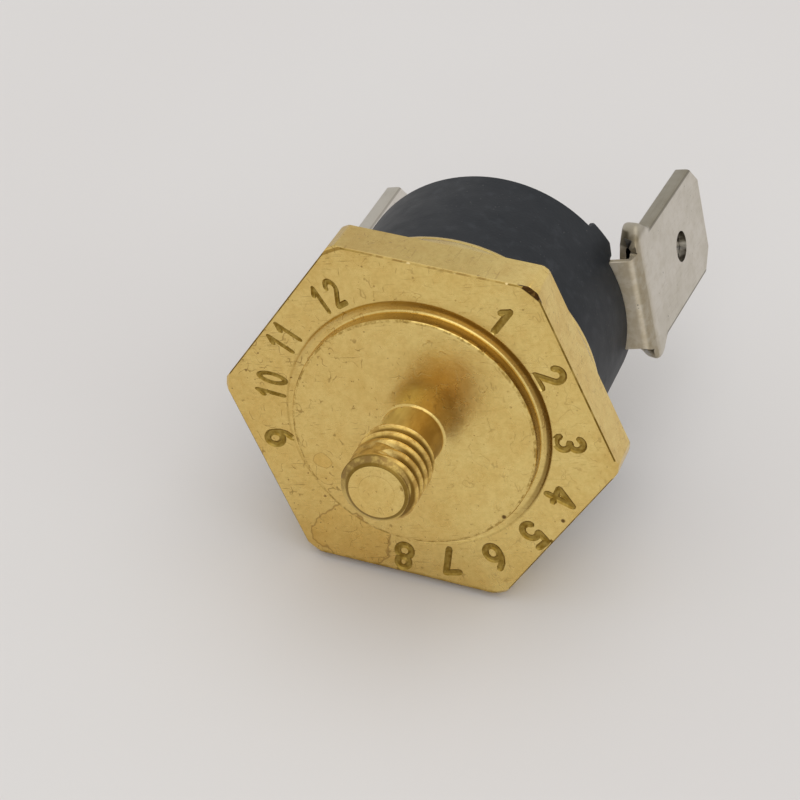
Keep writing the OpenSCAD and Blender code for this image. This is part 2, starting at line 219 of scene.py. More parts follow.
def make_object(name, points, faces, sharp=SHARP):
    mesh = bpy.data.meshes.new(name)
    mesh.from_pydata([tuple(float(c)*MM for c in p) for p in points], [], faces)
    bm = bmesh.new()
    bm.from_mesh(mesh)
    bmesh.ops.remove_doubles(bm, verts=bm.verts, dist=WELD*MM)
    loose = [v for v in bm.verts if not v.link_faces]
    bmesh.ops.delete(bm, geom=loose, context="VERTS")
    bmesh.ops.recalc_face_normals(bm, faces=bm.faces)
    bm.to_mesh(mesh)
    bm.free()
    obj = add_object(name, mesh)
    soften(obj, sharp)
    return obj


def soften(obj, sharp=SHARP):
    """Smooth shading with edges sharper than the angle kept."""
    obj.data.polygons.foreach_set("use_smooth", [True]*len(obj.data.polygons))
    obj.data.set_sharp_from_angle(angle=math.radians(sharp))
    obj.data.update()


def dress(obj, *materials):
    obj.data.materials.clear()
    for material in materials:
        obj.data.materials.append(material)


def add_modifier(obj, kind, **settings):
    step = obj.modifiers.new(kind, kind)
    for key, value in settings.items():
        setattr(step, key, value)


def bake_modifiers(obj):
    bpy.context.view_layer.update()
    graph = bpy.context.evaluated_depsgraph_get()
    done = bpy.data.meshes.new_from_object(obj.evaluated_get(graph))
    old = obj.data
    obj.modifiers.clear()
    obj.data = done
    done.name = obj.name
    bpy.data.meshes.remove(old)


def cut(obj, cutters):
    """Takes other closed meshes, which are used up, away from a closed mesh."""
    for cutter in cutters:
        add_modifier(obj, "BOOLEAN", operation="DIFFERENCE", solver="MANIFOLD", object=cutter)
    bake_modifiers(obj)
    for cutter in cutters:
        bpy.data.objects.remove(cutter)


def round_edges(obj, width):
    """Rounds the edges between faces that are turned by more than ROUND_ANGLE."""
    bm = bmesh.new()
    bm.from_mesh(obj.data)
    bmesh.ops.remove_doubles(bm, verts=bm.verts, dist=0.01*MM)
    bmesh.ops.dissolve_limit(bm, angle_limit=math.radians(0.5), verts=bm.verts, edges=bm.edges,
                             delimit={"MATERIAL"})
    bm.to_mesh(obj.data)
    bm.free()
    add_modifier(obj, "BEVEL", width=width*MM, segments=2, limit_method="ANGLE",
                 angle_limit=math.radians(ROUND_ANGLE), use_clamp_overlap=False, miter_outer="MITER_ARC")
    bake_modifiers(obj)


def row_faces(a, b, n, closed=True):
    """Quads between two rows of n points, which start at the indexes a and b."""
    return [[a + j, a + (j + 1) % n, b + (j + 1) % n, b + j] for j in range(n if closed else n - 1)]


def capped(name, points):
    """Closed solid between two rings: the first half of the points and the second half."""
    n = len(points)//2
    return make_object(name, points, [list(range(n)), list(range(2*n - 1, n - 1, -1)), *row_faces(0, n, n)])


def prism(name, outline, axis, a, b):
    """Closed prism: outline in the plane across the axis (0, 1 or 2), from a to b along it."""
    return capped(name, [[*p[:axis], level, *p[axis:]] for level in (a, b) for p in outline])


def block(name, x0, x1, y0, y1, z0, z1):
    return prism(name, [(x0, y0), (x1, y0), (x1, y1), (x0, y1)], 2, z0, z1)


def rod(name, centre, direction, radius, length, n=64):
    """Closed rod about a line through centre."""
    side = direction.orthogonal().normalized()
    other = direction.cross(side)
    ring = [side*math.cos(2*math.pi*i/n) + other*math.sin(2*math.pi*i/n) for i in range(n)]
    return capped(name, [centre + direction*(k*length/2) + r*radius for k in (-1, 1) for r in ring])


def ring_points(columns, r, z):
    """Points round the axis; radius and level are a number or one per column."""
    r = np.broadcast_to(r, columns.shape)
    z = np.broadcast_to(z, columns.shape)
    return np.column_stack([r*np.cos(columns), r*np.sin(columns), z]).tolist()


def turned_mesh(columns, rings):
    """Points and faces of the surface through rings, each a radius and a level."""
    n = len(columns)
    points = [p for r, z in rings for p in ring_points(columns, r, z)]
    return points, [face for k in range(len(rings) - 1) for face in row_faces(k*n, (k + 1)*n, n)]


def join(*parts):
    """Points and faces of several parts in one."""
    points, faces = [], []
    for more_points, more_faces in parts:
        faces += [[len(points) + i for i in face] for face in more_faces]
        points += more_points
    return points, faces


# The base

def base_columns():
    """Column angles in radians, with a column on every edge where a flat meets a turned corner."""
    corner = math.degrees(math.acos(FLAT_APOTHEM/CORNER_R))
    face = math.degrees(math.acos(FLAT_APOTHEM/CORNER_FACE_R))
    half = np.concatenate([np.linspace(0, face, 25)[:-1], np.linspace(face, corner, 6)[:-1],
                           np.linspace(corner, 30, 4)])
    sector = np.concatenate([-half[:0:-1], half[:-1]])
    return np.radians(np.concatenate([HEX_ANGLE + 30 + 60*k + sector for k in range(6)]))


def flat_reach(columns):
    """Distance to the hexagon's flats along each column."""
    d = (np.degrees(columns) - HEX_ANGLE) % 60 - 30
    return FLAT_APOTHEM/np.cos(np.radians(d))


def thread_turn(az):
    return (az - math.radians(CREST_AZ))/(2*math.pi)


def thread_depth(phase):
    """Depth below the crest for a phase within one turn, 0 and 1 at the crest's middle."""
    d = np.abs((phase + 0.5) % 1 - 0.5)*PITCH
    flank = (d - PITCH/16)/math.tan(math.radians(30))
    return np.clip(flank, 0, THREAD_R - NECK_R)


def stud_radius(az, z):
    rough = wobble(ring_points(az, THREAD_R, z), 0.5, 3)
    worn = np.exp(-(degrees_from(WORN_AZ, az)/45.0)**4)
    tip_side = bell(z - WORN_Z, 0.45)
    phase = (z - CREST_Z)/PITCH - thread_turn(az)
    depth = thread_depth(phase)*(1 - worn*np.minimum(1.0, 0.3 + 0.85*tip_side))
    crest = THREAD_R - 0.012*(1 + rough) - 0.12*worn*tip_side*(1 + 0.4*rough)
    r = np.maximum(np.minimum(THREAD_R - depth, crest), NECK_R)
    r = np.minimum(r, NECK_R + np.maximum(0, -NECK_L - z))
    return np.minimum(r, TIP_R + (z + STUD_L)*(THREAD_R - TIP_R)/TIP_H)


def thread_mesh(columns):
    """Rows that follow the helix, clamped to the chamfer and to the neck."""
    phases = [0, .0625, .1, .17, .24, .31, .368, .44, .56, .632, .69, .76, .83, .9, .9375]
    z_lo, z_hi = TIP_H - STUD_L, -NECK_L
    turn = thread_turn(columns)
    start = math.floor((z_lo - CREST_Z)/PITCH - turn[0] - 1)
    stop = math.ceil((z_hi - CREST_Z)/PITCH - turn[0] + 1)
    rows = [k + p for k in range(start, stop) for p in phases]
    points = []
    for row in rows:
        z = np.clip(CREST_Z + PITCH*(turn + row), z_lo, z_hi)
        points += ring_points(columns, stud_radius(columns, z), z)
    n, m, last = len(columns), len(phases), len(rows) - 1
    faces = []
    for i in range(last):
        a, b = i*n, (i + 1)*n
        faces += row_faces(a, b, n, closed=False)
        # the end of a row meets the start of the row one turn on
        c, d = (min(i + k, last)*n for k in (m, m + 1))
        faces.append([b - 1, c, d, b + n - 1] if c != d else [b - 1, c, b + n - 1])
    return points, faces


def base_rings(columns):
    """Rings from the neck outwards over the contact face, the hexagon and the skirt, and back in."""
    reach = flat_reach(columns)
    rim = wobble(ring_points(columns, BOSS_R, 0), 0.22, 5)
    chips = wobble(ring_points(columns, FLAT_APOTHEM, 0), 0.16, 8)
    chips = np.abs(chips)*0.05*bell(degrees_from(TOP_FLAT, columns), 14.0)
    sway = 0.012*wobble(ring_points(columns, SKIRT_R, 0), 3.0, 11)

    def outline(z, inset=0.0):
        return np.minimum(reach - inset, CORNER_FACE_R + min(z - BOSS_H, CORNER_BEVEL))

    rings = [(NECK_R, -z) for z in np.linspace(NECK_L, NECK_FILLET, 7)]
    rings += arc(NECK_R + NECK_FILLET, -NECK_FILLET, NECK_FILLET, 180, 90, 6)[1:]
    rings += [(r, 0) for r in (2.1, 2.8, 3.6, 4.4, 5.2, 5.8, 6.1)]
    rings += [(BOSS_R - BOSS_BEVEL - 0.03 + 0.045*rim, 0.0),
              (BOSS_R - 0.04 + 0.02*rim, 0.02 + 0.012*rim), (BOSS_R, BOSS_BEVEL),
              (BOSS_R, 0.3), (BOSS_R, 0.6)]
    ring_z = BOSS_H + RING_DEPTH
    rings += arc(BOSS_R + RING_FOOT_R, ring_z - RING_FOOT_R, RING_FOOT_R, 180, 90, 4)
    rings += [(RING_R - 0.3, ring_z), (RING_R - 0.14, ring_z - 0.005), (RING_R - 0.05, ring_z - 0.03),
              (RING_R, BOSS_H + 0.004)]
    ring_end = RING_R + 0.04
    edge = outline(BOSS_H, EDGE_BEVEL + chips)
    rings += [(ring_end + s*(edge - ring_end), BOSS_H) for s in (0, 0.2, 0.4, 0.6, 0.8, 0.93, 1)]
    rings.append((outline(BOSS_H + 0.03, 0.4*EDGE_BEVEL + 0.5*chips), BOSS_H + 0.03))
    rings += [(outline(BOSS_H + z), BOSS_H + z) for z in (EDGE_BEVEL, 0.1, 0.12, 0.15, CORNER_BEVEL)]
    rings += [(outline(z), z) for z in (1.7, 2.4, 3.0, HEX_BACK_Z - HEX_BACK_BEVEL)]
    rings.append((outline(HEX_BACK_Z, HEX_BACK_BEVEL), HEX_BACK_Z))
    rings += [((outline(HEX_BACK_Z) + SKIRT_R)/2, HEX_BACK_Z), (SKIRT_R + 0.1, HEX_BACK_Z),
              (SKIRT_R + 0.03, HEX_BACK_Z + 0.03), (SKIRT_R, HEX_BACK_Z + 0.1),
              (SKIRT_R, 4.0), (SKIRT_R, 4.6)]
    # a faint groove where the lip begins
    rings += [(SKIRT_R, LIP_Z - 0.1), (SKIRT_R - 0.02, LIP_Z - 0.06),
              (SKIRT_R - 0.02, LIP_Z - 0.02), (SKIRT_R - 0.004, LIP_Z + 0.02)]
    lip = arc(LIP_X, LIP_Z, LIP_R, 4, LIP_ANGLE, 10)
    rings += [(r + sway*(i/10), z + sway*(i/10)) for i, (r, z) in enumerate(lip)]
    rings += arc(LIP_X, LIP_Z, LIP_R - SKIRT_WALL, LIP_ANGLE, 0, 6)
    rings += [(LIP_X + LIP_R - SKIRT_WALL, SEAT_Z), (POCKET_R, SEAT_Z), (POCKET_R, LEDGE_Z),
              (DISC_REST_R, LEDGE_Z), (DISC_REST_R, SENSE_T), (3.0, SENSE_T), (0.0, SENSE_T)]
    return rings


def tip_rings(columns):
    """The stud's flat tip with a faint turned ring and a nick in its edge, and the chamfer around it."""
    z = -STUD_L
    rings = [(0.0, z), (0.3, z), (0.6, z), (0.86, z), (0.9, z + 0.012), (0.94, z), (1.1, z), (1.25, z),
             (1.34, z + 0.06*bell(degrees_from(NICK_AZ, columns), 4.0)), (TIP_R, z)]
    return rings + [(stud_radius(columns, z), z) for z in np.linspace(-STUD_L, TIP_H - STUD_L, 7)[1:]]


def stroke_loop(points, closed, radius, place):
    """Closed tube along a stroke; place puts a point of the glyph on the base."""
    path = [Vector((x, y, 0)) for x, y in points]
    n, m = len(path), 10
    rings = []
    for i, p in enumerate(path):
        before, after = (i - 1, (i + 1) % n) if closed else (max(i - 1, 0), min(i + 1, n - 1))
        d = (path[after] - path[before]).normalized()
        side = Vector((-d.y, d.x, 0))
        rings.append([p + side*(radius*math.cos(2*math.pi*k/m))
                      + Vector((0, 0, radius*math.sin(2*math.pi*k/m))) for k in range(m)])
    if not closed:
        # rounded ends: rings ahead of the end, and their size
        for end, inner in ((0, 1), (-1, -2)):
            p = path[end]
            d = (p - path[inner]).normalized()
            tip = [[p + d*(radius*f) + (q - p)*g for q in rings[end]] for f, g in ((0.55, 0.84), (0.9, 0.44))]
            rings = rings + tip if end else tip[::-1] + rings
    count = len(rings)
    faces = []
    for i in range(count if closed else count - 1):
        faces += row_faces(i*m, (i + 1) % count*m, m)
    if not closed:
        faces += [list(range(m)), list(range((count - 1)*m, count*m))]
    return [place(q) for ring in rings for q in ring], faces


def oval(cx, cy, rx, ry, a0=0.0, a1=360.0):
    angles = np.radians(np.linspace(a0, a1, 20, endpoint=(a1 - a0) % 360 != 0))
    return [(cx + rx*math.cos(a), cy + ry*math.sin(a)) for a in angles]


# Centre lines of the digits in a field from -0.38 to 0.38 and from -0.68 to 0.68; True is a closed line
SIX = [(oval(0, -.27, .36, .41), True), ([(-.35, -.22), (-.33, .1), (-.2, .4), (.06, .66)], False)]
DIGITS = {
    "0": [(oval(0, 0, .37, .68), True)],
    "1": [([(0, -.68), (0, 0), (0, .68)], False), ([(0, .66), (-.3, .36)], False)],
    "2": [(oval(0, .3, .36, .38, 165, -35) + [(-.05, -.3), (-.36, -.66)], False),
          ([(-.36, -.68), (.38, -.68)], False)],
    "3": [(oval(-.02, .34, .33, .34, 150, -90), False), (oval(-.02, -.33, .38, .36, 90, -150), False)],
    "4": [([(.16, -.68), (.16, .68)], False), ([(.16, .66), (-.4, -.24)], False),
          ([(-.4, -.26), (.42, -.26)], False)],
    "5": [([(.33, .68), (-.28, .68)], False), ([(-.28, .66), (-.33, .1)], False),
          (oval(-.03, -.25, .38, .42, 128, -145), False)],
    "6": SIX,
    "7": [([(-.36, .68), (.36, .68)], False), ([(.35, .66), (-.1, -.68)], False)],
    "8": [(oval(0, .35, .3, .33), True), (oval(0, -.32, .37, .37), True)],
    "9": [([(-x, -y) for x, y in line], closed) for line, closed in SIX],
}
# Dial numbers round the hexagon's face: (number, azimuth, radius of its middle)
DIAL = [("1", -45.2, 7.85), ("2", -18.5, 7.8), ("3", 9.2, 7.8), ("4", 32.6, 7.95), ("5", 52.9, 8.05),
        ("6", 71.8, 8.15), ("7", 89.5, 7.95), ("8", 107.4, 8.0),
        ("9", 176.3, 7.65), ("10", 199.0, 7.8), ("11", 220.6, 7.95), ("12", 246.6, 8.0)]
STROKE_W = 0.4
STROKE_DEPTH = 0.09
DIGIT_STRETCH = 1.02
DIGIT_PITCH = 0.86
TWO_DIGITS = (0.66, 0.85)      # how much narrower and thinner the digits of a pair are


def dial_cutters():
    """Round-bottomed strokes of the dial numbers, tops outwards, read clockwise from the stud's side."""
    cutters = []
    for number, az, r in DIAL:
        out, along = polar(1, az), polar(1, az + 90)
        narrow, thin = TWO_DIGITS if len(number) > 1 else (1.0, 1.0)
        tube = ((STROKE_W*thin/2)**2 + STROKE_DEPTH**2)/(2*STROKE_DEPTH)
        for i, digit in enumerate(number):
            shift = (i - (len(number) - 1)/2)*DIGIT_PITCH

            def place(q):
                return (out*(r + q.y*DIGIT_STRETCH) + along*(q.x*narrow + shift)
                        + Vector((0, 0, BOSS_H + STROKE_DEPTH - tube - q.z)))

            for k, (line, closed) in enumerate(DIGITS[digit]):
                stroke = stroke_loop(line, closed, tube, place)
                cutters.append(make_object(f"stroke_{number}_{i}_{k}", *stroke))
    return cutters


def make_base(brass, stamp, edge):
    columns = base_columns()
    mesh = join(turned_mesh(columns, tip_rings(columns)), thread_mesh(columns),
                turned_mesh(columns, base_rings(columns)))
    base = make_object("stud_base", *mesh)
    cut(base, dial_cutters())
    dress(base, brass, stamp, edge)
    for face in base.data.polygons:
        c = face.center/MM
        r = math.hypot(c.x, c.y)
        reach = flat_reach(math.atan2(c.y, c.x))
        on_face = RING_R + 0.08 < r < min(reach, CORNER_FACE_R) - 0.12
        stamped = on_face and BOSS_H + 0.003 < c.z < BOSS_H + STROKE_DEPTH + 0.01
        on_flat = reach < CORNER_FACE_R + 0.02
        front = on_flat and BOSS_H < c.z < BOSS_H + EDGE_BEVEL and r > reach - EDGE_BEVEL - 0.08
        back = abs(c.z - HEX_BACK_Z + HEX_BACK_BEVEL/2) < 0.01 and r > reach - 0.06
        # the front and back edge bevels take the edge material, painted dark as shade
        face.material_index = 1 if stamped else 2 if front or back else 0
    soften(base)
    return base


# The housing

def body_columns():
    """Column angles in radians, with a column wherever a lug or the slope beside the trough ends."""
    y0 = TROUGH_W/2
    ends = [math.degrees(math.asin(y/BODY_R)) for y in (y0, y0 + LUG_SLOPE_W, y0 + LUG_W)]
    ends = [a for e in ends for a in (e, -e, 180 - e, 180 + e)]
    even = [a for a in np.arange(-90, 270, 2.25) if min(abs(a - e) for e in ends) > 0.8]
    return np.radians(sorted(even + ends))


def make_housing(material):
    top = REAR_Z + LUG_H
    over = top + 2
    shoulder = LIP_R - SKIRT_WALL - 0.02
    profile = [(0, CEILING_Z), (3.3, CEILING_Z), (CAVITY_R, CEILING_Z), (CAVITY_R, GUIDE_Z),
               (GUIDE_R, GUIDE_Z), (GUIDE_R, SEAT_Z), (FLANGE_R, SEAT_Z)]
    profile += arc(LIP_X, LIP_Z, shoulder, 0, 90, 6)
    profile += [(BODY_R - WAIST, LIP_Z + shoulder + 0.02), (BODY_R - WAIST, RIM_Z),
                (BODY_R, RIM_Z + WAIST), (BODY_R, 9.0), (BODY_R, top), (3.0, top), (0, top)]
    body = make_object("moulded_housing", *turned_mesh(body_columns(), profile))
    # everything above the back face goes, apart from the lugs and the barrier
    wide = OUTSIDE - 1
    above = block("above", -wide, wide, -wide, wide, REAR_Z, top + 1)
    y0 = TROUGH_W/2
    slope_y, slope_z = y0 + LUG_SLOPE_W, top - LUG_SLOPE_H
    lug = [(y0 - 0.5, REAR_Z - 1), (y0 - 0.5, slope_z - 0.7), (y0, slope_z), (slope_y, top),
           (slope_y, over), (y0 + LUG_W, over), (y0 + LUG_W, REAR_Z - 1)]
    kept = []
    for x0, x1 in ((BODY_R - LUG_DEPTH, OUTSIDE), (-OUTSIDE, LUG_DEPTH - BODY_R)):
        for s in (1, -1):
            kept.append(prism("lug", [(s*y, z) for y, z in lug][::s], 0, x0, x1))
    kept.append(block("barrier", -BARRIER_T/2, BARRIER_T/2, -y0 - 0.5, y0 + 0.5, REAR_Z - 1, over))
    cut(above, kept)
    cutters = [above]
    slope = [(-slope_y, top), (-y0, slope_z), (-y0, TROUGH_Z), (y0, TROUGH_Z), (y0, slope_z), (slope_y, top),
             (slope_y, over), (-slope_y, over)]
    for s in (1, -1):
        x0, x1 = sorted((s*BARRIER_T/2, s*OUTSIDE))
        cutters.append(block("trough", x0, x1, -y0, y0, TROUGH_Z, top + 1))
        x0, x1 = sorted((s*(BODY_R - LUG_DEPTH - 0.01), s*OUTSIDE))
        cutters.append(prism("slope", slope, 0, x0, x1))
        cutters.append(rod("hole", Vector((s*RIVET_X, 0, 12)), Vector((0, 0, 1)), HOLE_R, 6))
    cut(body, cutters)
    round_edges(body, 0.1)
    soften(body, 50)
    # shading that follows the large faces, so that narrow bevels don't darken them
    add_modifier(body, "WEIGHTED_NORMAL", keep_sharp=True)
    bake_modifiers(body)
    dress(body, material)
    return body


# The terminals

def fold_section(width, gap, corner):
    """Outer and inner side of the folded sheet, as (x, y): the outer face lies on x = 0."""
    t = 2*SHEET_T + gap
    half = STRIP_W/2 + FLARE
    flat = width/2 - corner
    inner_y = width/2 - SHEET_T - gap/2
    outer, inner = [], []

    def straight(x, ys):
        depth = -SHEET_T if x == 0 else -SHEET_T - gap
        for y in ys:
            outer.append((x, y))
            inner.append((depth, max(-inner_y, min(inner_y, y))))

    def turn(x, side, a0):
        for a in np.radians(np.linspace(a0, a0 + 90, 6)):
            outer.append((x + corner*math.cos(a), side*flat + corner*math.sin(a)))
            inner.append((-t/2 + gap/2*math.cos(a), side*inner_y + gap/2*math.sin(a)))

    back = np.linspace(SEAM_W/2, flat, 6)[:-1]
    straight(-t, [-y for y in back])
    turn(-t + corner, -1, 180)
    turn(-corner, -1, 270)
    straight(0, [-(flat + half)/2, *np.linspace(-half, half, 13), (flat + half)/2])
    turn(-corner, 1, 0)
    turn(-t + corner, 1, 90)
    straight(-t, back[::-1])
    return outer, inner


def blade_size(s):
    """Width over the folds, gap between the layers and corner radius at a height above the bend."""
    if s < LOOP_H:
        swell = math.sin(math.pi/2*s/LOOP_H)**0.6
        return LOOP_FOOT_W + (LOOP_W - LOOP_FOOT_W)*swell, LOOP_GAP, LOOP_R
    t = (s - LOOP_H)/PRESS_H
    closing, pressed = float(smooth(t)), float(smooth(1.3*t))
    return (LOOP_W + (BLADE_W - LOOP_W)*closing, LOOP_GAP + (FOLD_GAP - LOOP_GAP)*pressed,
            LOOP_R + (FOLD_R - LOOP_R)*pressed)


def folded_height(s, x, y):
    """Height of a point of the folds; their foot slants up outwards and towards the wings behind."""
    top = 1.8
    if s >= top:
        return s
    half = STRIP_W/2 + FLARE
    front = np.interp(abs(y), [half + 0.01, half + 0.1, half + 0.4, half + 0.8], [0, -0.12, -0.06, 0.16])
    wing = np.interp(abs(y), [half - 0.35, half, half + 0.3, half + 0.7], [0.3, 0.5, 0.72, 1.0])
    back = min(max(-x/(2*SHEET_T + LOOP_GAP), 0.0), 1.0)
    foot = float(front + (wing - front)*back)
    return foot + s*(top - foot)/top


def blade_place(lean):
    """Function that puts a point of the blade (outwards, sideways, upwards) on the leaning one."""
    c, s = math.cos(math.radians(lean)), math.sin(math.radians(lean))

    def place(x, y, up):
        u = BEND_OUT_R + x
        return (BEND_X + u*c + up*s, y, BEND_Z - u*s + up*c)

    return place


def blade_mesh(place):
    """The folded sheet above the bend, open at its foot where the strip joins it."""
    points = []
    for s in BLADE_LEVELS:
        outer, inner = fold_section(*blade_size(s))
        points += [place(x, y, folded_height(s, x, y)) for x, y in outer]
        for x, y in inner:
            foot = abs(y) > STRIP_W/2 + FLARE or x < -0.5
            points.append(place(x, y, folded_height(s, x, y) if foot else s))
    m = len(outer)
    last = len(points) - 2*m
    faces = []
    for a in range(0, last, 2*m):
        b = a + 2*m
        faces += row_faces(a, b, m, closed=False) + row_faces(b + m, a + m, m, closed=False)
        faces += [[a + j, b + j, b + m + j, a + m + j] for j in (0, m - 1)]
    half = STRIP_W/2 + FLARE + 0.001
    outer, _ = fold_section(*blade_size(0))
    on_strip = [x == 0 and abs(y) < half for x, y in outer]
    faces += row_faces(last, last + m, m, closed=False)
    faces += [[j, m + j, m + j + 1, j + 1] for j in range(m - 1) if not (on_strip[j] and on_strip[j + 1])]
    return points, faces


def strip_mesh(lean):
    """Strip and bend, on the same columns as the middle of the blade's foot."""
    ys = np.linspace(-STRIP_W/2, STRIP_W/2, 13)
    starts = [RIVET_X - math.sqrt(max(0.0, (STRIP_W/2)**2 - y*y)) for y in ys]
    points = []
    for u in np.linspace(0, 1, 9):
        for z in (TROUGH_Z, TROUGH_Z + SHEET_T):
            points += [(x + u*(BEND_X - x), y, z) for x, y in zip(starts, ys)]
    for k in np.linspace(0, 1, 11)[1:]:
        a = math.radians(-90 + (90 - lean)*k)
        wider = 1 + float(smooth(k))*2*FLARE/STRIP_W
        for r in (BEND_OUT_R, BEND_R):
            points += [(BEND_X + r*math.cos(a), y*wider, BEND_Z + r*math.sin(a)) for y in ys]
    n = len(ys)
    faces = []
    for a in range(0, len(points) - 2*n, 2*n):
        b, c, d = a + n, a + 2*n, a + 3*n
        faces += [[a + j, c + j, c + j + 1, a + j + 1] for j in range(n - 1)]
        faces += row_faces(b, d, n, closed=False)
        faces += [[a, b, d, c], [b - 1, d - 1, d + n - 1, c - 1]]
    return points, faces + row_faces(0, n, n, closed=False)


def tab_cutters(place, axis):
    """Hole for the rivet, eye of the blade and the corners cut off its tip."""
    cutters = [rod("hole", Vector((RIVET_X, 0, TROUGH_Z)), Vector((0, 0, 1)), HOLE_R, 3),
               rod("eye", Vector(place(-SHEET_T, 0, BLADE_L - EYE_IN)), axis, EYE_D/2, 3, 48)]
    for s in (1, -1):
        edge = s*BLADE_W/2
        wedge = [(edge + s*0.5, BLADE_L - TIP_CUT - 0.5), (edge + s*0.5, BLADE_L + 0.5),
                 (edge - s*(TIP_CUT + 0.5), BLADE_L + 0.5)]
        cutters.append(capped("wedge", [place(x, y, z) for x in (-2, 1) for y, z in wedge]))
    return cutters


def make_terminal(name, side, lean, material, dark):
    place = blade_place(lean)
    axis = Vector((math.cos(math.radians(lean)), 0, -math.sin(math.radians(lean))))
    up = Vector((-axis.z, 0, axis.x))
    tab = make_object(name, *join(blade_mesh(place), strip_mesh(lean)))
    cut(tab, tab_cutters(place, axis))
    dress(tab, material, dark)
    for face in tab.data.polygons:
        p = face.center/MM - Vector((BEND_X, 0, BEND_Z))
        x, s = p.dot(axis) - BEND_OUT_R, p.dot(up)
        near_eye = math.hypot(p.y, s - BLADE_L + EYE_IN) < EYE_D/2 + 0.02
        in_eye = near_eye and abs(face.normal.dot(axis)) < 0.5
        inside = abs(p.y) < blade_size(max(s, 0.0))[0]/2 - SHEET_T + 0.03
        in_fold = inside and s > 0.02 and -SHEET_T - LOOP_GAP - 0.02 < x < -SHEET_T + 0.02
        face.material_index = 1 if in_eye or in_fold else 0
    if side < 0:
        tab.data.transform(HALF_TURN)
    soften(tab, 40)
    return tab


def make_rivet(name, side, foot_t, material):
    head_z = TROUGH_Z + SHEET_T
    tail_z = CEILING_Z - foot_t
    end_z = tail_z - RIVET_TAIL_H
    top = head_z + RIVET_HEAD_H
    rings = [(0, end_z), (RIVET_TAIL_R - 0.1, end_z), (RIVET_TAIL_R, end_z + 0.1), (RIVET_TAIL_R, tail_z),
             (RIVET_R, tail_z), (RIVET_R, head_z), (RIVET_HEAD_R - 0.04, head_z),
             (RIVET_HEAD_R, head_z + 0.05)]
    rings += arc(RIVET_HEAD_R - RIVET_HEAD_H, head_z, RIVET_HEAD_H, 20, 80, 8)
    rings += [(r, top - depth) for r, depth in RIVET_MOUTH] + RIVET_BORE_END
    columns = np.linspace(0, 2*math.pi, 96, endpoint=False)
    rivet = make_object(name, *turned_mesh(columns, rings), sharp=40)
    rivet.data.transform(Matrix.Translation((RIVET_X*MM, 0, 0)))
    if side < 0:
        rivet.data.transform(HALF_TURN)
    dress(rivet, material)
    return rivet


# Materials

